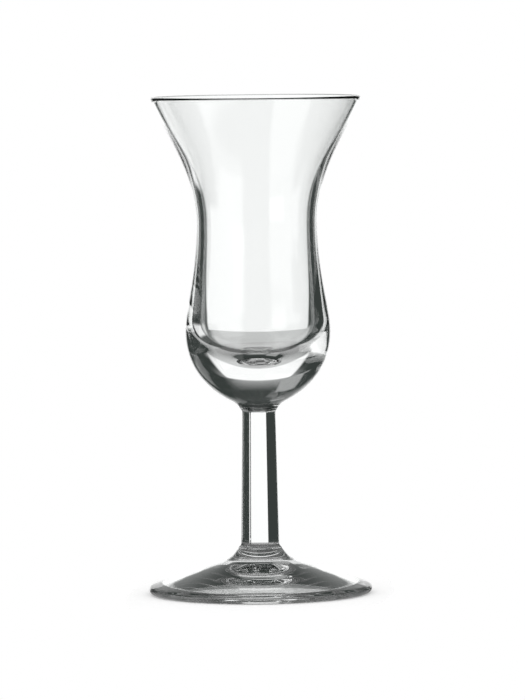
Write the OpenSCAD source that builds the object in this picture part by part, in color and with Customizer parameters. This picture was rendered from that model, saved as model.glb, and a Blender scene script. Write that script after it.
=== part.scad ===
// Cordial glass: a flared bowl with a thick base, a six-sided cut stem and a round foot.
// The bowl, the stem and the foot are three gathers of clear glass, welded end to end while hot.
// The glass stands on Z = 0 with its axis on Z, and one flat of the stem faces -Y.
// Outlines are [distance from the axis, height] points, each counted from its own gather's lower weld.

/* [Bowl outside] */
// Height of the bowl from its weld with the stem to the lip
bowl_h = 75.8; // [72:0.2:84]
// Outside diameter at the lip
mouth_d = 52.2; // [46:0.2:58]
// Thickness of the fire-polished lip
lip_t = 1.0; // [0.7:0.1:1.8]
// Lean of the wall at the lip, in degrees from upright
lip_lean = 25; // [15:1:32]
// Outside diameter of the waist under the flare
waist_d = 30; // [27:0.2:34]
// Height of the waist above the weld
waist_up = 44.3; // [40:0.2:50]
// Outside diameter of the belly
belly_d = 36.1; // [34:0.1:42]
// Height of the belly above the weld
belly_up = 17.3; // [15:0.1:22]
// Rise of the bowl's underside at the weld, in degrees from level
base_rise = 27; // [15:1:40]

/* [Bowl inside] */
// Thickness of the wall at the waist
waist_wall = 1.8; // [1:0.1:3]
// Diameter of the cavity at its widest place above the floor
cavity_d = 28.6; // [25:0.1:30.5]
// Height of that place above the weld
cavity_up = 19.7; // [17:0.1:24]
// Thickness of the solid glass under the cavity
floor_t = 9.4; // [8:0.1:13]

/* [Stem] */
// Length of the stem between its two welds
stem_h = 38.6; // [30:0.2:60]
// Diameter of the weld between the bowl and the stem
bowl_weld_d = 13.6; // [11:0.1:16]
// Width across the corners at the top of the shank
shank_top_d = 8.4; // [7:0.1:9.4]
// Width across the corners at the foot of the shank
shank_low_d = 9.5; // [8.4:0.1:11]
// How much each corner is softened by fire polishing, measured from the sharp corner
corner_off = 0.05; // [0:0.01:0.15]
// Length of the flared end above the shank
top_flare_h = 4.2; // [3:0.1:6]
// Length of the flared end below the shank
low_flare_h = 4.3; // [3:0.1:6]
// Radius of the grinding wheel, which leaves a rounded run-out at both ends of each flat
wheel_r = 1.2; // [0.8:0.1:2]
// Distance from the top weld to the end of the straight part of each flat
cut_top_gap = 3; // [2.6:0.1:5]
// Distance from the lower weld to the end of the straight part of each flat
cut_low_gap = 3; // [2.8:0.1:5]

/* [Foot] */
// Diameter of the foot
foot_d = 55.5; // [48:0.5:62]
// Height of the foot up to its weld with the stem
foot_h = 9.6; // [9:0.1:12]
// Diameter of the weld between the stem and the foot
foot_weld_d = 13.5; // [11:0.1:16]
// Slope of the foot's upper face, in degrees from level
foot_slope = 18.5; // [14:0.1:19]
// Radius of the foot's rounded edge
edge_r = 1.15; // [0.9:0.05:1.5]
// Slope of the upper face at the weld, in degrees from level
collar_rise = 50; // [35:1:60]
// Diameter at which the straight slope ends and the collar begins
collar_d = 23; // [20:0.5:28]
// Width of the flat ring that the glass rests on, inside its rounded edge
rest_w = 2.35; // [1.5:0.05:4]
// Height of the hollow under the foot
punt_h = 4.5; // [3.5:0.1:5]
// Slope of the hollow where it meets the ring, in degrees from level
punt_lean = 16.5; // [13:0.5:18]

/* [Hidden] */

// Fineness of the round faces and of the outlines
$fn = 96;
curve_steps = 14;
arc_steps = 8;
glass_colour = [0.80, 0.86, 0.84];
// The stem has six flats
flats = 6;
// How far a cutter runs past what it cuts
overrun = 2;

bowl_z = foot_h + stem_h;
bowl_weld_r = bowl_weld_d / 2;
foot_weld_r = foot_weld_d / 2;
corner_to_flat_share = cos(180 / flats);

// How far each curve keeps its direction at its two ends, as shares of the straight line between them
base_shares = [0.26, 0.48];
barrel_shares = [0.21, 0.46];
flare_shares = [0.35, 0.36];
inner_flare_shares = [0.48, 0.37];
inner_barrel_shares = [0.40, 0.30];
floor_shares = [0.48, 0.30];
top_flare_shares = [0.50, 0.30];
low_flare_shares = [0.25, 0.45];
collar_shares = [0.40, 0.30];
punt_shares = [0.25, 0.52];

// Headings of an outline in the [distance from the axis, height] plane
outward = 0;
up = 90;
inward = 180;
down = 270;

function toward(heading) = [cos(heading), sin(heading)];

// A smooth curve from point a to point b, leaving and arriving at the given headings; a itself is left out
function ease(a, from, b, to, shares) =
    let (
        reach = norm(b - a),
        a_pull = a + reach * shares[0] * toward(from),
        b_pull = b - reach * shares[1] * toward(to)
    )
    [for (i = [1:curve_steps])
        let (t = i / curve_steps, s = 1 - t)
        s^3 * a + 3 * s^2 * t * a_pull + 3 * s * t^2 * b_pull + t^3 * b];

// A round stretch about centre c, from angle a0 to angle a1
function arc(c, r, a0, a1) =
    [for (i = [0:arc_steps]) c + r * toward(a0 + (a1 - a0) * i / arc_steps)];

// Bowl: solid base, belly, waist and flare outside, and the cavity inside
lip_r = lip_t / 2;
lip_centre = [mouth_d / 2 - lip_r, bowl_h - lip_r];
lip_out = lip_centre + lip_r * toward(-lip_lean);
lip_in = lip_centre + lip_r * toward(inward - lip_lean);
belly = [belly_d / 2, belly_up];
waist = [waist_d / 2, waist_up];
inner_waist = [waist_d / 2 - waist_wall, waist_up];
inner_belly = [cavity_d / 2, cavity_up];
cavity_floor = [0, floor_t];

bowl_outline = concat(
    [[0, 0], [bowl_weld_r, 0]],
    ease([bowl_weld_r, 0], base_rise, belly, up, base_shares),
    ease(belly, up, waist, up, barrel_shares),
    ease(waist, up, lip_out, up - lip_lean, flare_shares),
    arc(lip_centre, lip_r, -lip_lean, inward - lip_lean),
    ease(lip_in, down - lip_lean, inner_waist, down, inner_flare_shares),
    ease(inner_waist, down, inner_belly, down, inner_barrel_shares),
    ease(inner_belly, down, cavity_floor, inward, floor_shares)
);

// Stem: a round blank with a flared end at each weld, whose shank then has six flats cut on it
shank_low = [shank_low_d / 2 - corner_off, low_flare_h];
shank_top = [shank_top_d / 2 - corner_off, stem_h - top_flare_h];

stem_outline = concat(
    [[0, 0], [foot_weld_r, 0]],
    ease([foot_weld_r, 0], inward - collar_rise, shank_low, up, low_flare_shares),
    [shank_top],
    ease(shank_top, up, [bowl_weld_r, stem_h], base_rise, top_flare_shares),
    [[0, stem_h]]
);

// The flats lie on a six-sided taper, so their distance from the axis at a height follows one straight line
function flat_at(z) =
    let (rise_share = (z - low_flare_h) / (stem_h - top_flare_h - low_flare_h))
    corner_to_flat_share * (shank_low_d + (shank_top_d - shank_low_d) * rise_share) / 2;

cut_low_z = cut_low_gap;
cut_top_z = stem_h - cut_top_gap;
cut_out_r = foot_weld_r + bowl_weld_r;
flat_low = [flat_at(cut_low_z), cut_low_z];
flat_top = [flat_at(cut_top_z), cut_top_z];

cut_outline = concat(
    [[cut_out_r, cut_low_z - wheel_r]],
    arc(flat_low + [wheel_r, 0], wheel_r, down, inward),
    arc(flat_top + [wheel_r, 0], wheel_r, inward, up),
    [[cut_out_r, cut_top_z + wheel_r]]
);

// Foot: a shallow cone with a rounded edge and a concave collar, hollowed underneath
foot_r = foot_d / 2;
edge_centre = [foot_r - edge_r, edge_r];
shoulder = edge_centre + edge_r * toward(up - foot_slope);
collar_r = collar_d / 2;
collar = [collar_r, shoulder[1] + (shoulder[0] - collar_r) * tan(foot_slope)];
rest_in = [foot_r - edge_r - rest_w, 0];
punt_top = [0, punt_h];

foot_outline = concat(
    [punt_top],
    ease(punt_top, outward, rest_in, outward - punt_lean, punt_shares),
    arc(edge_centre, edge_r, -up, up - foot_slope),
    [collar],
    ease(collar, inward - foot_slope, [foot_weld_r, foot_h], inward - collar_rise, collar_shares),
    [[0, foot_h]]
);

module bowl() {
    color(glass_colour)
        translate([0, 0, bowl_z])
            rotate_extrude()
                polygon(bowl_outline);
}

// One cutter, which takes the flat at the given angle about the stem
module flat_cut(angle) {
    rotate([0, 0, angle])
        rotate([90, 0, 0])
            linear_extrude(shank_low_d + overrun, center = true)
                polygon(cut_outline);
}

module stem() {
    color(glass_colour)
        translate([0, 0, foot_h])
            difference() {
                rotate_extrude()
                    polygon(stem_outline);
                for (i = [0:flats - 1])
                    flat_cut(-up + i * 360 / flats);
            }
}

module foot() {
    color(glass_colour)
        rotate_extrude()
            polygon(foot_outline);
}

bowl();
stem();
foot();
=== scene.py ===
"""Dresses a clear cordial glass and sets it in a small white studio.

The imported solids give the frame: the heights of the two welds, the lip and the foot's edge are read
from their boxes. Bowl, stem and foot are then drawn again as smooth surfaces with the same outlines,
each standing for its own solid, and given a clear glass with faint ripples.

All lengths are in metres. Outlines are arrays of (distance from the axis, height) rows.
"""

from __future__ import annotations

import logging
import math
from dataclasses import dataclass, field
from enum import Enum

import bpy
import numpy as np
from mathutils import Euler, Matrix, Vector

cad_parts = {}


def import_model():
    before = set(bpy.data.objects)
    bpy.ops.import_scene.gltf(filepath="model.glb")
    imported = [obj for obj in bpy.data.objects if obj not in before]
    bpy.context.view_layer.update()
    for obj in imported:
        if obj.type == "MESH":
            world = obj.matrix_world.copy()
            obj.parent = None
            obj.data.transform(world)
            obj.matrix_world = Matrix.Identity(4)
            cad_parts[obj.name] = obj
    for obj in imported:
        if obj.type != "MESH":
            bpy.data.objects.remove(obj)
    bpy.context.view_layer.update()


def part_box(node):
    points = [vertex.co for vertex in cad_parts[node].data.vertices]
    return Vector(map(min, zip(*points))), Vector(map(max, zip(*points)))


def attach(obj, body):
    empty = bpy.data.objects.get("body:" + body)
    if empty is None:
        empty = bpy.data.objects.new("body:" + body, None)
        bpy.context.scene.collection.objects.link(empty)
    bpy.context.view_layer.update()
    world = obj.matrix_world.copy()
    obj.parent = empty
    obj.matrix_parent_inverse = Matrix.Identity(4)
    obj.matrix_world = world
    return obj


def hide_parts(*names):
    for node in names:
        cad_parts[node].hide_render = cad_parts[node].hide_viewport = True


MM = 0.001
ROOT_BODY = "root"
WHITE = (1.0, 1.0, 1.0, 1.0)
FRONT = -90.0  # angle of -Y, in degrees counter-clockwise from +X
log = logging.getLogger("cordial_glass")


class Heading(Enum):
    """Directions in the (distance from the axis, height) plane, in degrees."""

    OUTWARD = 0.0
    UP = 90.0
    INWARD = 180.0
    DOWN = 270.0


def toward(heading: float) -> np.ndarray:
    """Unit step in an outline's plane, (cosine, sine) of a heading in degrees."""
    return np.array([math.cos(math.radians(heading)), math.sin(math.radians(heading))])


def ease(
    start: np.ndarray,
    leaving: float,
    end: np.ndarray,
    arriving: float,
    shares: tuple[float, float],
    steps: int,
) -> np.ndarray:
    """Joins two outline points with one smooth curve.

    The curve is the cubic s^3 A + 3 s^2 t P + 3 s t^2 Q + t^3 B, with s = 1 - t. P lies ahead of the
    start and Q behind the end, each by its share of the straight distance between the two.

    Args:
        start: First point, left out of the result.
        leaving: Heading at the start, in degrees.
        end: Last point.
        arriving: Heading at the end, in degrees.
        shares: How far the curve keeps its heading at the start and at the end.
        steps: Number of points.

    Returns:
        The points after the start, one row each.
    """
    reach = float(np.linalg.norm(end - start))
    ahead = start + reach * shares[0] * toward(leaving)
    behind = end - reach * shares[1] * toward(arriving)
    t = (np.arange(1, steps + 1) / steps)[:, None]
    s = 1 - t
    return s**3 * start + 3 * s**2 * t * ahead + 3 * s * t**2 * behind + t**3 * end


def arc(centre: np.ndarray, radius: float, first: float, last: float, steps: int) -> np.ndarray:
    """Points on a circle, centre + radius (cos a, sin a), from angle first to angle last.

    Args:
        centre: Centre of the circle.
        radius: Its radius.
        first: First angle, in degrees.
        last: Last angle, in degrees.
        steps: Number of steps between the two.

    Returns:
        steps + 1 points, one row each.
    """
    angles = np.radians(np.linspace(first, last, steps + 1))
    return centre + radius * np.stack([np.cos(angles), np.sin(angles)], axis=1)


def line(start: np.ndarray, end: np.ndarray, steps: int) -> np.ndarray:
    """Points on the straight line start + t (end - start), with the start left out.

    Args:
        start: First point.
        end: Last point.
        steps: Number of points.

    Returns:
        The points after the start, one row each.
    """
    t = (np.arange(1, steps + 1) / steps)[:, None]
    return start + t * (end - start)


def placed(name: str, data: bpy.types.Mesh | bpy.types.Camera) -> bpy.types.Object:
    """Makes an object and links it to the scene.

    Args:
        name: Name of the object.
        data: Its mesh or camera.

    Returns:
        The object.
    """
    made = bpy.data.objects.new(name, data)
    bpy.context.scene.collection.objects.link(made)
    return made


@dataclass
class RoundSurface:
    """A closed surface about the Z axis, whose two ends are single points on the axis.

    A point is (r cos a, r sin a, z) for its row's height z, its column's angle a and the radius r of
    that row and column. The fan of faces round an end may be the inside of a weld.

    Attributes:
        radii: Radius for each row and column, without the poles.
        heights: Height of each row.
        angles: Angle of each column, in radians, counter-clockwise from +X.
        first_pole: Height of the pole before the first row.
        last_pole: Height of the pole after the last row.
        first_is_weld: The fan at the first pole is a weld face.
        last_is_weld: The fan at the last pole is a weld face.
    """

    radii: np.ndarray
    heights: np.ndarray
    angles: np.ndarray
    first_pole: float
    last_pole: float
    first_is_weld: bool
    last_is_weld: bool

    def points(self) -> np.ndarray:
        """Works out the vertices, (r cos a, r sin a, z) for each row and column.

        Returns:
            One row of three per vertex: the grid row after row, then the first and the last pole.
        """
        x = self.radii * np.cos(self.angles)
        y = self.radii * np.sin(self.angles)
        z = np.broadcast_to(self.heights[:, None], self.radii.shape)
        grid = np.stack([x, y, z], axis=2).reshape(-1, 3)
        poles = np.array([[0.0, 0.0, self.first_pole], [0.0, 0.0, self.last_pole]])
        return np.vstack([grid, poles])

    def faces(self) -> tuple[np.ndarray, np.ndarray, np.ndarray]:
        """Joins the vertices into faces that point outwards.

        Returns:
            The quads between the rows, the fan at the first pole and the fan at the last pole.
        """
        rows, columns = self.radii.shape
        index = np.arange(rows * columns).reshape(rows, columns)
        beside = np.roll(index, -1, axis=1)
        quads = np.stack([index[:-1], beside[:-1], beside[1:], index[1:]], axis=2).reshape(-1, 4)
        first, last = rows * columns, rows * columns + 1
        opening = np.stack([np.full(columns, first), beside[0], index[0]], axis=1)
        closing = np.stack([np.full(columns, last), index[-1], beside[-1]], axis=1)
        return quads, opening, closing

    def build(self, name: str) -> bpy.types.Object:
        """Makes the mesh object, with slot 1 on the weld faces and a crisp edge round each.

        Args:
            name: Name of the object and its mesh.

        Returns:
            The object, linked to the scene.
        """
        rows, columns = self.radii.shape
        quads, opening, closing = self.faces()
        mesh = bpy.data.meshes.new(name)
        mesh.from_pydata(
            self.points().tolist(), [], quads.tolist() + opening.tolist() + closing.tolist()
        )
        slots = np.zeros(len(mesh.polygons), dtype=np.int32)
        slots[len(quads) : len(quads) + columns] = int(self.first_is_weld)
        slots[len(quads) + columns :] = int(self.last_is_weld)
        mesh.polygons.foreach_set("material_index", slots)
        mesh.polygons.foreach_set("use_smooth", np.ones(len(mesh.polygons), dtype=bool))
        ends = np.empty(2 * len(mesh.edges), dtype=np.int32)
        mesh.edges.foreach_get("vertices", ends)
        row_of = ends.reshape(-1, 2) // columns
        on_first = (row_of == 0).all(axis=1) & self.first_is_weld
        on_last = (row_of == rows - 1).all(axis=1) & self.last_is_weld
        mesh.edges.foreach_set("use_edge_sharp", on_first | on_last)
        mesh.validate()
        mesh.update()
        return placed(name, mesh)


@dataclass
class NodeBench:
    """A node tree under construction, emptied first.

    Attributes:
        tree: The tree of a material or a world.
    """

    tree: bpy.types.NodeTree

    def __post_init__(self) -> None:
        """Clears the nodes that Blender starts with."""
        self.tree.nodes.clear()

    def add(self, kind: str, **fields: object) -> bpy.types.Node:
        """Adds a node.

        Args:
            kind: Its type, without the leading ShaderNode.
            **fields: Properties to set on it.

        Returns:
            The node.
        """
        node = self.tree.nodes.new(f"ShaderNode{kind}")
        for name, value in fields.items():
            setattr(node, name, value)
        return node

    def feed(self, node: bpy.types.Node, entry: str | int, source: object) -> None:
        """Sets an input of a node, from another node's output or to a plain value.

        Args:
            node: The node.
            entry: Name or number of its input.
            source: The output to link, or the value.
        """
        if isinstance(source, bpy.types.NodeSocket):
            self.tree.links.new(source, node.inputs[entry])
        else:
            node.inputs[entry].default_value = source

    def maths(self, operation: str, first: object, second: object) -> bpy.types.NodeSocket:
        """Adds a Math node.

        Args:
            operation: Name of its operation.
            first: Output or number that goes in first.
            second: Output or number that goes in second.

        Returns:
            Its result.
        """
        node = self.add("Math", operation=operation)
        self.feed(node, 0, first)
        self.feed(node, 1, second)
        return node.outputs["Value"]

    def smooth_step(
        self, value: object, start: float, end: float, top: float = 1.0
    ) -> bpy.types.NodeSocket:
        """Adds a soft step, which rises from 0 and stays at its top.

        Args:
            value: Output that the step follows.
            start: Value where it is still 0.
            end: Value where it reaches the top. It may lie below the start.
            top: Height of the step.

        Returns:
            Its result.
        """
        node = self.add("MapRange", interpolation_type="SMOOTHSTEP")
        self.feed(node, "Value", value)
        self.feed(node, "From Min", start)
        self.feed(node, "From Max", end)
        self.feed(node, "To Max", top)
        return node.outputs["Result"]

    def bent(self, path: bpy.types.Node) -> bpy.types.NodeSocket:
        """Adds 1 for the rays that glass has bent or mirrored and 0 for others, from a Light Path node."""
        return self.maths("MAXIMUM", path.outputs["Is Transmission Ray"], path.outputs["Is Glossy Ray"])

    def background(self, strength: object) -> bpy.types.NodeSocket:
        """Adds a white Background node.

        Args:
            strength: Output or number for its strength.

        Returns:
            Its shader.
        """
        node = self.add("Background")
        self.feed(node, "Color", WHITE)
        self.feed(node, "Strength", strength)
        return node.outputs["Background"]

    def mixed(self, share: object, without: object, with_it: object) -> bpy.types.NodeSocket:
        """Adds a Mix Shader node.

        Args:
            share: Output with the share of the second shader.
            without: Shader at a share of 0.
            with_it: Shader at a share of 1.

        Returns:
            The mixed shader.
        """
        node = self.add("MixShader")
        self.feed(node, 0, share)
        self.feed(node, 1, without)
        self.feed(node, 2, with_it)
        return node.outputs["Shader"]


def empty_material(name: str) -> tuple[bpy.types.Material, NodeBench]:
    """Makes a material with an empty node tree.

    Args:
        name: Its name.

    Returns:
        The material, and a bench for its nodes.
    """
    made = bpy.data.materials.new(name)
    made.use_nodes = True
    return made, NodeBench(made.node_tree)


@dataclass(frozen=True)
class ClearGlass:
    """Clear soda glass, with faint ripples and a trace of grey-green.

    Attributes:
        colour: Tint that light takes on at each face.
        ior: Index of refraction.
        haze: Lowest and highest roughness of the surface.
        haze_scale: Pattern repeats per metre of the haze.
        ripple_scale: Pattern repeats per metre of the ripples.
        ripple_detail: Number of finer ripples laid over the first.
        ripple_height: Height of the ripples.
        shadow_tint: Colour of the light that lamps send through the glass.
    """

    colour: tuple[float, float, float] = (0.985, 0.990, 0.988)
    ior: float = 1.52
    haze: tuple[float, float] = (0.0, 0.012)
    haze_scale: float = 60.0
    ripple_scale: float = 90.0
    ripple_detail: float = 1.0
    ripple_height: float = 0.004 * MM
    shadow_tint: tuple[float, float, float] = (0.42, 0.44, 0.43)

    def material(self, name: str) -> bpy.types.Material:
        """Builds the material.

        Args:
            name: Its name.

        Returns:
            The material.
        """
        made, bench = empty_material(name)
        place = bench.add("TexCoord").outputs["Object"]
        glass = bench.add("BsdfPrincipled")
        bench.feed(glass, "Base Color", (*self.colour, 1.0))
        bench.feed(glass, "IOR", self.ior)
        bench.feed(glass, "Transmission Weight", 1.0)

        haze = bench.add("TexNoise")
        bench.feed(haze, "Vector", place)
        bench.feed(haze, "Scale", self.haze_scale)
        low, high = self.haze
        spread = bench.add("MapRange")
        bench.feed(spread, "Value", haze.outputs["Fac"])
        bench.feed(spread, "To Min", low)
        bench.feed(spread, "To Max", high)
        bench.feed(glass, "Roughness", spread.outputs["Result"])

        ripple = bench.add("TexNoise")
        bench.feed(ripple, "Vector", place)
        bench.feed(ripple, "Scale", self.ripple_scale)
        bench.feed(ripple, "Detail", self.ripple_detail)
        bump = bench.add("Bump")
        bench.feed(bump, "Height", ripple.outputs["Fac"])
        bench.feed(bump, "Distance", self.ripple_height)
        bench.feed(glass, "Normal", bump.outputs["Normal"])

        through = bench.add("BsdfTransparent")
        bench.feed(through, "Color", (*self.shadow_tint, 1.0))
        for_lamps = bench.add("LightPath").outputs["Is Shadow Ray"]
        either = bench.mixed(for_lamps, glass.outputs["BSDF"], through.outputs["BSDF"])
        bench.feed(bench.add("OutputMaterial"), "Surface", either)
        return made


@dataclass(frozen=True)
class WeldFace:
    """The face inside a weld, where two gathers are one glass and nothing shows."""

    def material(self, name: str) -> bpy.types.Material:
        """Builds a fully see-through material.

        Args:
            name: Its name.

        Returns:
            The material.
        """
        made, bench = empty_material(name)
        through = bench.add("BsdfTransparent")
        bench.feed(bench.add("OutputMaterial"), "Surface", through.outputs["BSDF"])
        return made


@dataclass(frozen=True)
class WhiteTableWithPaintedShade:
    """The table top: matte white to the camera, and painted light and shade in the glass.

    Attributes:
        colour: Grey of the matte surface.
        glow: Brightness of its own that the camera sees, which blends it into the white.
        painted_light_and_shade_in_glass: Glow of its front as the glass bends or mirrors it, a painted
            shade darker than the rest.
        steps: Changes of that painted brightness on the way back, each with its start and end along Y and
            its rise: a painted glow under the foot's front, a painted shadow of the foot from its middle
            back, and painted light on the table far behind.
    """

    colour: float = 0.85
    glow: float = 0.3
    painted_light_and_shade_in_glass: float = 0.02
    # Painted light and shade along Y: a painted glow under the foot's front, a painted shadow of the foot
    # behind its middle, and painted light on the table far behind.
    steps: tuple[tuple[float, float, float], ...] = (
        (-30.0 * MM, -22.0 * MM, 0.43),
        (-8.0 * MM, 8.0 * MM, -0.33),
        (33.0 * MM, 42.0 * MM, 0.43),
    )

    def material(self, name: str) -> bpy.types.Material:
        """Builds the material.

        Args:
            name: Its name.

        Returns:
            The material.
        """
        made, bench = empty_material(name)
        matte = bench.add("BsdfDiffuse")
        bench.feed(matte, "Color", (*[self.colour] * 3, 1.0))
        path = bench.add("LightPath")
        glow = bench.add("Emission")
        bench.feed(glow, "Strength", bench.maths("MULTIPLY", path.outputs["Is Camera Ray"], self.glow))
        shown = bench.add("AddShader")
        bench.feed(shown, 0, matte.outputs["BSDF"])
        bench.feed(shown, 1, glow.outputs["Emission"])
        place = bench.add("SeparateXYZ")
        bench.feed(place, "Vector", bench.add("TexCoord").outputs["Object"])
        # What the glass bends or mirrors is an emission only, graded along Y: painted shade at the front,
        # a painted glow under the foot, a painted shadow behind it and painted light far behind. The
        # camera sees the matte white with its real shadow.
        level = self.painted_light_and_shade_in_glass
        for start, end, rise in self.steps:
            level = bench.maths("ADD", level, bench.smooth_step(place.outputs["Y"], start, end, rise))
        painted_light_and_shade_in_glass = bench.add("Emission")
        bench.feed(painted_light_and_shade_in_glass, "Strength", level)
        either = bench.mixed(bench.bent(path), shown.outputs["Shader"], painted_light_and_shade_in_glass.outputs["Emission"])
        bench.feed(bench.add("OutputMaterial"), "Surface", either)
        return made


@dataclass
class Gather:
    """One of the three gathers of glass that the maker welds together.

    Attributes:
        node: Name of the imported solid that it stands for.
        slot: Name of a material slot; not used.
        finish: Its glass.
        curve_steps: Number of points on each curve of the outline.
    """

    node: str = ""
    slot: str = ""
    finish: ClearGlass = field(default_factory=ClearGlass)
    curve_steps: int = 48

    @property
    def low(self) -> float:
        """Height of the solid's lowest point."""
        return float(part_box(self.node)[0][2])

    @property
    def high(self) -> float:
        """Height of the solid's highest point."""
        return float(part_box(self.node)[1][2])

    def surface(self) -> RoundSurface:
        """The gather's surface."""
        raise NotImplementedError

    def make(self, weld: bpy.types.Material) -> bpy.types.Object:
        """Builds the gather, dresses it and puts it in its solid's place.

        Args:
            weld: Material of the faces inside the welds.

        Returns:
            The finished piece.
        """
        piece = self.surface().build(f"clear_{self.node}")
        piece.data.materials.append(self.finish.material(f"{self.node}_glass"))
        piece.data.materials.append(weld)
        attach(piece, ROOT_BODY)
        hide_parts(self.node)
        log.info("%s: %d faces", piece.name, len(piece.data.polygons))
        return piece


@dataclass
class TurnedGather(Gather):
    """A gather that is round about the axis.

    Attributes:
        columns: Number of steps round the axis.
        arc_steps: Number of steps on each round edge.
        first_is_weld: The outline starts in the middle of a weld face.
        last_is_weld: The outline ends in the middle of a weld face.
    """

    columns: int = 256
    arc_steps: int = 20
    first_is_weld: bool = False
    last_is_weld: bool = False

    def outline(self) -> np.ndarray:
        """The gather's outline, which starts and ends on the axis."""
        raise NotImplementedError

    def surface(self) -> RoundSurface:
        """Turns the outline about the axis.

        Returns:
            The surface, with one radius all round each row.
        """
        outline = self.outline()
        middle = outline[1:-1]
        return RoundSurface(
            radii=np.repeat(middle[:, :1], self.columns, axis=1),
            heights=middle[:, 1],
            angles=np.arange(self.columns) * (2 * math.pi / self.columns),
            first_pole=float(outline[0, 1]),
            last_pole=float(outline[-1, 1]),
            first_is_weld=self.first_is_weld,
            last_is_weld=self.last_is_weld,
        )


@dataclass
class Bowl(TurnedGather):
    """The flared bowl with its thick base.

    Heights count from the bowl's weld with the stem.

    Attributes:
        mouth_diameter: Width over the lip.
        lip_thickness: Thickness of the round lip.
        lip_lean: Lean of the wall at the lip, in degrees outwards from upright.
        waist_diameter: Width of the waist.
        waist_up: Height of the waist.
        belly_diameter: Greatest width of the belly.
        belly_up: Height of that width.
        base_rise: Slope of the base at the weld, in degrees.
        weld_diameter: Width of the weld with the stem.
        waist_wall: Thickness of the wall at the waist.
        cavity_diameter: Width of the cavity where its round floor begins.
        cavity_up: Height where the floor begins.
        floor_thickness: Glass under the cavity's lowest point.
        base_shares: Shares of the curve from the weld to the belly.
        barrel_shares: Shares of the curve from the belly to the waist.
        flare_shares: Shares of the curve from the waist to the lip.
        inner_flare_shares: Shares of the cavity's curve from the lip to the waist.
        inner_barrel_shares: Shares of the cavity's curve from the waist to the floor.
        floor_shares: Shares of the floor's curve.
    """

    node: str = "bowl"
    slot: str = "bowl_glass"
    first_is_weld: bool = True
    mouth_diameter: float = 52.2 * MM
    lip_thickness: float = 1.0 * MM
    lip_lean: float = 25.0
    waist_diameter: float = 30.0 * MM
    waist_up: float = 44.3 * MM
    belly_diameter: float = 36.1 * MM
    belly_up: float = 17.3 * MM
    base_rise: float = 27.0
    weld_diameter: float = 13.6 * MM
    waist_wall: float = 1.8 * MM
    cavity_diameter: float = 28.6 * MM
    cavity_up: float = 19.7 * MM
    floor_thickness: float = 9.4 * MM
    base_shares: tuple[float, float] = (0.26, 0.48)
    barrel_shares: tuple[float, float] = (0.21, 0.46)
    flare_shares: tuple[float, float] = (0.35, 0.36)
    inner_flare_shares: tuple[float, float] = (0.48, 0.37)
    inner_barrel_shares: tuple[float, float] = (0.40, 0.30)
    floor_shares: tuple[float, float] = (0.48, 0.30)

    def outline(self) -> np.ndarray:
        """Draws the outline from the weld's centre up, over the lip and down to the cavity's floor.

        It is the straight weld face, eased curves to the belly, the waist and the lip, a half
        circle over the lip, and eased curves down the cavity to its waist, the edge of its floor
        and the floor's middle.

        Returns:
            The outline.
        """
        up, down, inward = Heading.UP.value, Heading.DOWN.value, Heading.INWARD.value
        steps = self.curve_steps
        lip_r = self.lip_thickness / 2
        lip = np.array([self.mouth_diameter / 2 - lip_r, self.high - self.low - lip_r])
        lip_out = lip + lip_r * toward(-self.lip_lean)
        lip_in = lip + lip_r * toward(inward - self.lip_lean)
        edge = np.array([self.weld_diameter / 2, 0.0])
        belly = np.array([self.belly_diameter / 2, self.belly_up])
        waist = np.array([self.waist_diameter / 2, self.waist_up])
        inner_waist = waist - np.array([self.waist_wall, 0.0])
        inner_belly = np.array([self.cavity_diameter / 2, self.cavity_up])
        floor = np.array([0.0, self.floor_thickness])
        flare_in = down - self.lip_lean
        points = np.vstack(
            [
                [[0.0, 0.0]],
                [edge],
                ease(edge, self.base_rise, belly, up, self.base_shares, steps),
                ease(belly, up, waist, up, self.barrel_shares, steps),
                ease(waist, up, lip_out, up - self.lip_lean, self.flare_shares, steps),
                arc(lip, lip_r, -self.lip_lean, inward - self.lip_lean, self.arc_steps)[1:],
                ease(lip_in, flare_in, inner_waist, down, self.inner_flare_shares, steps),
                ease(inner_waist, down, inner_belly, down, self.inner_barrel_shares, steps),
                ease(inner_belly, down, floor, inward, self.floor_shares, steps),
            ]
        )
        return points + np.array([0.0, self.low])


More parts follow.
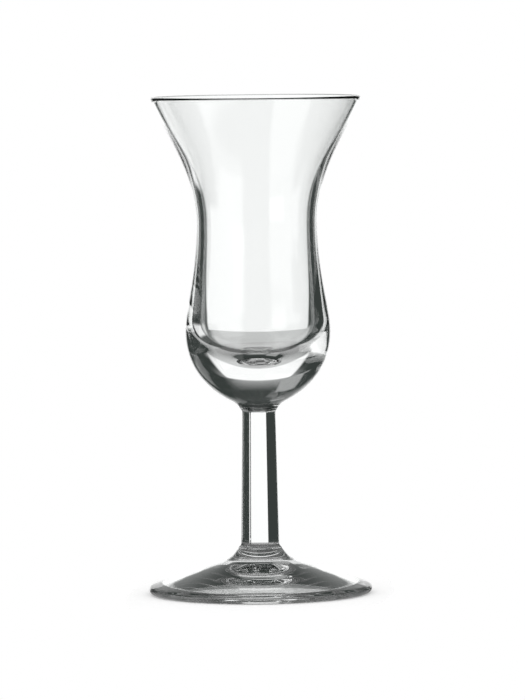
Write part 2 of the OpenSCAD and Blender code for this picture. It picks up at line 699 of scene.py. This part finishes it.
@dataclass
class Stem(Gather):
    """The six-sided stem, flared at both welds, with one flat to the front.

    Heights count from the stem's weld with the foot.

    Attributes:
        flats: Number of flats.
        foot_weld_diameter: Width of the weld with the foot.
        bowl_weld_diameter: Width of the weld with the bowl.
        shank_low: Width over the corners where the low flare ends.
        shank_top: Width over the corners where the top flare begins.
        low_flare: Height of the flare at the foot.
        top_flare: Height of the flare at the bowl.
        collar_rise: Slope of the low flare at its weld, in degrees.
        base_rise: Slope of the top flare at its weld, in degrees.
        cut_low_gap: Distance from the flats' low ends to the weld with the foot.
        cut_top_gap: Distance from the flats' top ends to the weld with the bowl.
        wheel_radius: Radius of the round run-out that the cutting wheel leaves.
        corner_radius: Radius of the polished corners.
        low_flare_shares: Shares of the low flare's curve.
        top_flare_shares: Shares of the top flare's curve.
        blend: Softness of the edge where a flat meets the round blank.
        flat_columns: Number of columns on a flat.
        corner_columns: Number of columns round a corner.
        corner_span: Half of the angle that they cover, in degrees.
        low_rows: Number of rows below the low run-out.
        runout_rows: Number of rows along a run-out.
        shank_rows: Number of rows between the run-outs.
        top_rows: Number of rows above the top run-out.
    """

    node: str = "stem"
    slot: str = "stem_glass"
    curve_steps: int = 192
    flats: int = 6
    foot_weld_diameter: float = 13.5 * MM
    bowl_weld_diameter: float = 13.6 * MM
    shank_low: float = 9.5 * MM
    shank_top: float = 8.4 * MM
    low_flare: float = 4.3 * MM
    top_flare: float = 4.2 * MM
    collar_rise: float = 50.0
    base_rise: float = 27.0
    cut_low_gap: float = 3.0 * MM
    cut_top_gap: float = 3.0 * MM
    wheel_radius: float = 1.2 * MM
    corner_radius: float = 0.25 * MM
    low_flare_shares: tuple[float, float] = (0.25, 0.45)
    top_flare_shares: tuple[float, float] = (0.50, 0.30)
    blend: float = 0.06 * MM
    flat_columns: int = 24
    corner_columns: int = 10
    corner_span: float = 3.0
    low_rows: int = 24
    runout_rows: int = 40
    shank_rows: int = 24
    top_rows: int = 48

    def rows(self) -> np.ndarray:
        """Spaces the rows, closest together along the run-outs of the flats.

        Returns:
            Height of each row.
        """
        height = self.high - self.low
        reach = self.wheel_radius
        low_start, low_end = self.cut_low_gap - reach, self.cut_low_gap + reach / 2
        cut_top = height - self.cut_top_gap
        top_start, top_end = cut_top - reach / 2, cut_top + reach
        marks = [
            (0.0, low_start, self.low_rows),
            (low_start, low_end, self.runout_rows),
            (low_end, top_start, self.shank_rows),
            (top_start, top_end, self.runout_rows),
            (top_end, height, self.top_rows),
        ]
        return np.concatenate(
            [np.linspace(a, b, n, endpoint=False) for a, b, n in marks] + [[height]]
        )

    def columns_round(self) -> np.ndarray:
        """Spaces the columns, closest together at the six corners.

        Returns:
            Angle of each column, in radians.
        """
        half = 180.0 / self.flats
        flat = np.linspace(-half + self.corner_span, half - self.corner_span, self.flat_columns + 1)
        corner = np.linspace(
            half - self.corner_span, half + self.corner_span, self.corner_columns + 1
        )[1:-1]
        sector = np.concatenate([flat, corner])
        turns = FRONT + np.arange(self.flats) * 2 * half
        return np.radians((turns[:, None] + sector[None, :]).ravel())

    def blank(self, heights: np.ndarray) -> np.ndarray:
        """Works out the round blank before the cut: an eased flare at each end, straight between.

        Args:
            heights: Height of each row.

        Returns:
            Radius of the blank at each row.
        """
        height = self.high - self.low
        low_edge = np.array([self.foot_weld_diameter / 2, 0.0])
        top_edge = np.array([self.bowl_weld_diameter / 2, height])
        low = np.array([self.shank_low / 2, self.low_flare])
        top = np.array([self.shank_top / 2, height - self.top_flare])
        up = Heading.UP.value
        leaving = Heading.INWARD.value - self.collar_rise
        steps = self.curve_steps
        points = np.vstack(
            [
                [low_edge],
                ease(low_edge, leaving, low, up, self.low_flare_shares, steps),
                ease(top, up, top_edge, self.base_rise, self.top_flare_shares, steps),
            ]
        )
        return np.interp(heights, points[:, 1], points[:, 0])

    def flat_distance(self, heights: np.ndarray) -> np.ndarray:
        """Works out how far the flats lie from the axis, with a round run-out past both ends.

        Between the run-outs it follows the shank's straight taper. Past an end by e it is the
        distance at that end plus w - sqrt(w^2 - e^2), for a wheel of radius w.

        Args:
            heights: Height of each row.

        Returns:
            Distance of the flats from the axis at each row.
        """
        height = self.high - self.low
        taper_low, taper_top = self.low_flare, height - self.top_flare
        cut_low, cut_top = self.cut_low_gap, height - self.cut_top_gap
        held = np.clip(heights, cut_low, cut_top)
        share = (held - taper_low) / (taper_top - taper_low)
        corner = (self.shank_low + (self.shank_top - self.shank_low) * share) / 2
        past = np.minimum(np.abs(heights - held), self.wheel_radius)
        rise = self.wheel_radius - np.sqrt(self.wheel_radius**2 - past**2)
        return corner * math.cos(math.pi / self.flats) + rise

    def six_sided(self, distance: np.ndarray, angles: np.ndarray) -> np.ndarray:
        """Works out a six-sided section with round corners.

        On a flat the radius is d / cos(f), for the angle f from the flat's middle. On a corner of
        radius c it is k cos(a) + sqrt(c^2 - k^2 sin^2(a)), for the angle a from the corner and the
        corner centre's distance k = (d - c) / cos(half a sector).

        Args:
            distance: Distance of the flats from the axis at each row.
            angles: Angle of each column, in radians.

        Returns:
            Radius for each row and column.
        """
        half = math.pi / self.flats
        from_flat = (angles - math.radians(FRONT) + half) % (2 * half) - half
        d, f = distance[:, None], np.abs(from_flat)[None, :]
        inner = (d - self.corner_radius) / math.cos(half)
        off = half - f
        bow = np.sqrt(np.maximum(self.corner_radius**2 - (inner * np.sin(off)) ** 2, 0.0))
        on_flat = np.tan(f) * d <= (d - self.corner_radius) * math.tan(half)
        return np.where(on_flat, d / np.cos(f), inner * np.cos(off) + bow)

    def surface(self) -> RoundSurface:
        """Cuts the flats from the blank, where the smaller radius wins with a soft edge.

        The soft lesser of p and q is (p + q - sqrt((p - q)^2 + b^2)) / 2, for a blend b. Beyond the
        wheel's run-outs nothing is cut.

        Returns:
            The stem's surface.
        """
        heights, angles = self.rows(), self.columns_round()
        whole = self.blank(heights)[:, None]
        cut = self.six_sided(self.flat_distance(heights), angles)
        soft = (whole + cut - np.sqrt((whole - cut) ** 2 + self.blend**2)) / 2
        cut_top = self.high - self.low - self.cut_top_gap
        past_end = np.maximum(self.cut_low_gap - heights, heights - cut_top)
        beyond = (past_end >= self.wheel_radius)[:, None]
        return RoundSurface(
            radii=np.where(beyond, whole, soft),
            heights=heights + self.low,
            angles=angles,
            first_pole=self.low,
            last_pole=self.high,
            first_is_weld=True,
            last_is_weld=True,
        )


@dataclass
class Foot(TurnedGather):
    """The round foot, a shallow cone with a rounded edge and a hollow underneath.

    Heights count from the table.

    Attributes:
        diameter: Width over the edge.
        weld_diameter: Width of the weld with the stem.
        slope: Slope of the cone, in degrees.
        edge_radius: Radius of the rounded edge.
        collar_rise: Slope of the collar at the weld, in degrees.
        collar_diameter: Width where the cone turns into the collar.
        rest_width: Width of the flat ring that the glass rests on.
        punt_height: Depth of the hollow.
        punt_lean: Slope of the hollow where it meets the ring, in degrees.
        collar_shares: Shares of the collar's curve.
        punt_shares: Shares of the hollow's curve.
        ring_steps: Number of points across the ring.
    """

    node: str = "foot"
    slot: str = "foot_glass"
    last_is_weld: bool = True
    diameter: float = 55.5 * MM
    weld_diameter: float = 13.5 * MM
    slope: float = 18.5
    edge_radius: float = 1.15 * MM
    collar_rise: float = 50.0
    collar_diameter: float = 23.0 * MM
    rest_width: float = 2.35 * MM
    punt_height: float = 4.5 * MM
    punt_lean: float = 16.5
    collar_shares: tuple[float, float] = (0.40, 0.30)
    punt_shares: tuple[float, float] = (0.25, 0.52)
    ring_steps: int = 4

    def outline(self) -> np.ndarray:
        """Draws the outline from the hollow's centre out, round the edge and up to the weld.

        It is an eased curve for the hollow, the flat ring, an arc round the edge, the cone's
        straight line, an eased curve for the collar, and the straight weld face.

        Returns:
            The outline.
        """
        up, inward, outward = Heading.UP.value, Heading.INWARD.value, Heading.OUTWARD.value
        steps = self.curve_steps
        edge = np.array([self.diameter / 2 - self.edge_radius, self.edge_radius])
        shoulder = edge + self.edge_radius * toward(up - self.slope)
        collar_r = self.collar_diameter / 2
        collar_z = shoulder[1] + (shoulder[0] - collar_r) * math.tan(math.radians(self.slope))
        collar = np.array([collar_r, collar_z])
        leaving, arriving = inward - self.slope, inward - self.collar_rise
        weld = np.array([self.weld_diameter / 2, self.high - self.low])
        rest = np.array([edge[0] - self.rest_width, 0.0])
        punt = np.array([0.0, self.punt_height])
        points = np.vstack(
            [
                [punt],
                ease(punt, outward, rest, outward - self.punt_lean, self.punt_shares, steps),
                line(rest, edge - np.array([0.0, self.edge_radius]), self.ring_steps),
                arc(edge, self.edge_radius, -up, up - self.slope, self.arc_steps)[1:],
                line(shoulder, collar, steps),
                ease(collar, leaving, weld, arriving, self.collar_shares, steps),
                [[0.0, self.high - self.low]],
            ]
        )
        return points + np.array([0.0, self.low])


@dataclass(frozen=True)
class Panel:
    """A lit panel of the studio, which the glass bends and mirrors but which isn't seen itself.

    Attributes:
        azimuth: Direction of its middle, in degrees from +Y towards +X.
        half_width: Half of its width, in degrees.
        low: Elevation of its lower edge, in degrees.
        high: Elevation of its upper edge, in degrees.
        level: Its brightness.
        softness: Width of its soft edge, in degrees.
    """

    azimuth: float
    half_width: float
    low: float
    high: float
    level: float
    softness: float = 3.0

    def brightness(self, bench: NodeBench, level_way: object, rise: object) -> bpy.types.NodeSocket:
        """Adds the panel to the world's nodes.

        It is the product of two soft windows: one in the cosine of the angle between the level
        direction and the panel's middle, and one in the sine of the elevation.

        Args:
            bench: Nodes of the world.
            level_way: Output with the level part of the direction, one long.
            rise: Output with the sine of the elevation.

        Returns:
            Output with the panel's brightness in the direction.
        """
        turn, half = math.radians(self.azimuth), self.softness / 2
        along = bench.add("VectorMath", operation="DOT_PRODUCT")
        bench.feed(along, 0, level_way)
        bench.feed(along, 1, (math.sin(turn), math.cos(turn), 0.0))
        outer = math.cos(math.radians(self.half_width + half))
        inner = math.cos(math.radians(max(self.half_width - half, 0.0)))
        across = bench.smooth_step(along.outputs["Value"], outer, inner, self.level)
        feet = [math.sin(math.radians(self.low + step)) for step in (-half, half)]
        head = [math.sin(math.radians(self.high + step)) for step in (half, -half)]
        above = bench.smooth_step(rise, feet[0], feet[1])
        below = bench.smooth_step(rise, head[0], head[1])
        return bench.maths("MULTIPLY", across, bench.maths("MULTIPLY", above, below))


BACK_WINDOW = Panel(azimuth=-5.0, half_width=19.0, low=-25.0, high=15.0, level=1.05)
ABOVE_WINDOW = Panel(azimuth=-5.0, half_width=17.0, low=0.0, high=30.0, level=0.5, softness=22.0)
BACK_TABLE = Panel(azimuth=-1.0, half_width=20.0, low=-68.0, high=-21.0, level=0.62, softness=8.0)
CEILING_PATCH = Panel(azimuth=-32.0, half_width=11.0, low=14.0, high=43.0, level=0.3)
LEFT_SOFTBOX = Panel(azimuth=-130.0, half_width=27.0, low=-48.0, high=75.0, level=1.08, softness=8.0)
LEFT_WINDOW = Panel(azimuth=-99.0, half_width=22.0, low=-12.0, high=13.0, level=1.1)
CORNER_PANELS = (
    Panel(azimuth=-45.0, half_width=13.0, low=-34.0, high=-16.0, level=0.9, softness=6.0),
    Panel(azimuth=135.0, half_width=13.0, low=-24.0, high=-6.0, level=1.1, softness=6.0),
)


@dataclass
class Studio:
    """The white studio: table, lit panels and camera.

    Attributes:
        camera_distance: Level distance of the camera from the glass's axis.
        camera_round: How far the camera stands round the axis from the front, in degrees.
        camera_height: Height of the camera above the table.
        camera_dip: How far the camera looks down, in degrees.
        camera_turn: How far it looks aside of the axis, in degrees.
        camera_roll: How far it is rolled, in degrees.
        sensor: Width of its sensor, in millimetres.
        lens: Its focal length, in millimetres.
        table_reach: Half of the oval table top's width and depth.
        table_gap: Depth of the table top below the foot.
        table_sides: Number of sides of the oval table top.
        table_look_and_painted_shade: Matte white of the table top, with the painted light and shade that
            the glass shows of it.
        wall_glow: Colour of the dim walls between the panels.
        plain_level: Even brightness that lights matte surfaces.
        clip: Nearest and farthest distance that the camera sees.
        bounces: How many faces of glass the light may cross.
        mirror_bounces: How many times it may be mirrored.
        panels: The lit panels.
    """

    camera_distance: float = 1443.6 * MM
    camera_round: float = 5.0
    camera_height: float = 152.1 * MM
    camera_dip: float = 3.62
    camera_turn: float = -0.043
    camera_roll: float = -0.633
    sensor: float = 36.0
    lens: float = 298.5
    table_reach: tuple[float, float] = (33.0 * MM, 75.0 * MM)
    table_gap: float = 0.05 * MM
    table_sides: int = 128
    table_look_and_painted_shade: WhiteTableWithPaintedShade = field(default_factory=WhiteTableWithPaintedShade)
    wall_glow: tuple[float, float, float] = (0.040, 0.047, 0.044)
    plain_level: float = 0.9
    clip: tuple[float, float] = (0.01, 20.0)
    bounces: int = 32
    mirror_bounces: int = 16
    panels: tuple[Panel, ...] = (
        BACK_WINDOW,
        ABOVE_WINDOW,
        BACK_TABLE,
        CEILING_PATCH,
        LEFT_SOFTBOX,
        LEFT_WINDOW,
        *CORNER_PANELS,
    )

    def walls(self) -> None:
        """Builds the world: white to the camera, the panels in the glass, and even light elsewhere."""
        world = bpy.data.worlds.new("studio_walls")
        bpy.context.scene.world = world
        world.use_nodes = True
        bench = NodeBench(world.node_tree)
        way = bench.add("TexCoord").outputs["Generated"]
        split = bench.add("SeparateXYZ")
        bench.feed(split, "Vector", way)
        flat = bench.add("CombineXYZ")
        bench.feed(flat, "X", split.outputs["X"])
        bench.feed(flat, "Y", split.outputs["Y"])
        unit = bench.add("VectorMath", operation="NORMALIZE")
        bench.feed(unit, 0, flat.outputs["Vector"])
        seen = 0.0
        for panel in self.panels:
            lit = panel.brightness(bench, unit.outputs["Vector"], split.outputs["Z"])
            seen = bench.maths("MAXIMUM", seen, lit)
        path = bench.add("LightPath")
        dim = bench.add("Background")
        bench.feed(dim, "Color", (*self.wall_glow, 1.0))
        both = bench.add("AddShader")
        bench.feed(both, 0, dim.outputs["Background"])
        bench.feed(both, 1, bench.background(seen))
        plain = bench.background(self.plain_level)
        other = bench.mixed(bench.bent(path), plain, both.outputs["Shader"])
        final = bench.mixed(path.outputs["Is Camera Ray"], other, bench.background(1.0))
        bench.feed(bench.add("OutputWorld"), "Surface", final)

    def table(self) -> None:
        """Builds the oval table top, one flat face on (x reach cos a, y reach sin a)."""
        angles = np.arange(self.table_sides) * (2 * math.pi / self.table_sides)
        ring = np.stack([np.cos(angles), np.sin(angles)], axis=1) * np.array(self.table_reach)
        corners = np.column_stack([ring, np.full(len(ring), -self.table_gap)])
        mesh = bpy.data.meshes.new("table_top")
        mesh.from_pydata(corners.tolist(), [], [list(range(len(corners)))])
        mesh.update()
        made = placed("table_top", mesh)
        mesh.materials.append(self.table_look_and_painted_shade.material("table_white_painted_shade"))

    def camera(self) -> None:
        """Places the camera to match the view in the photograph."""
        data = bpy.data.cameras.new("camera")
        made = placed("camera", data)
        data.sensor_width = self.sensor
        data.lens = self.lens
        data.clip_start, data.clip_end = self.clip
        aside = math.radians(self.camera_round)
        level_way = Vector((math.sin(aside), -math.cos(aside), 0.0))
        made.location = self.camera_distance * level_way + Vector((0.0, 0.0, self.camera_height))
        dip = math.pi / 2 - math.radians(self.camera_dip)
        turn = Euler((dip, 0.0, aside + math.radians(self.camera_turn)))
        roll = Matrix.Rotation(math.radians(self.camera_roll), 4, "Z")
        made.rotation_euler = (turn.to_matrix().to_4x4() @ roll).to_euler()
        bpy.context.scene.camera = made

    def light_paths(self) -> None:
        """Lets light cross all the faces of the glass, and leaves caustics out."""
        cycles = bpy.context.scene.cycles
        cycles.max_bounces = self.bounces
        cycles.transmission_bounces = self.bounces
        cycles.glossy_bounces = self.mirror_bounces
        cycles.transparent_max_bounces = self.bounces
        cycles.caustics_refractive = False
        cycles.caustics_reflective = False

    def build(self) -> None:
        """Builds all of the studio."""
        self.walls()
        self.table()
        self.camera()
        self.light_paths()
        bpy.context.scene.view_settings.view_transform = "Standard"


def main() -> None:
    """Builds the glass and its studio."""
    logging.basicConfig(level=logging.INFO, format="%(name)s: %(message)s")
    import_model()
    Studio().build()
    weld = WeldFace().material("weld_face")
    for gather in (Bowl(), Stem(), Foot()):
        gather.make(weld)


if __name__ == "__main__":
    main()
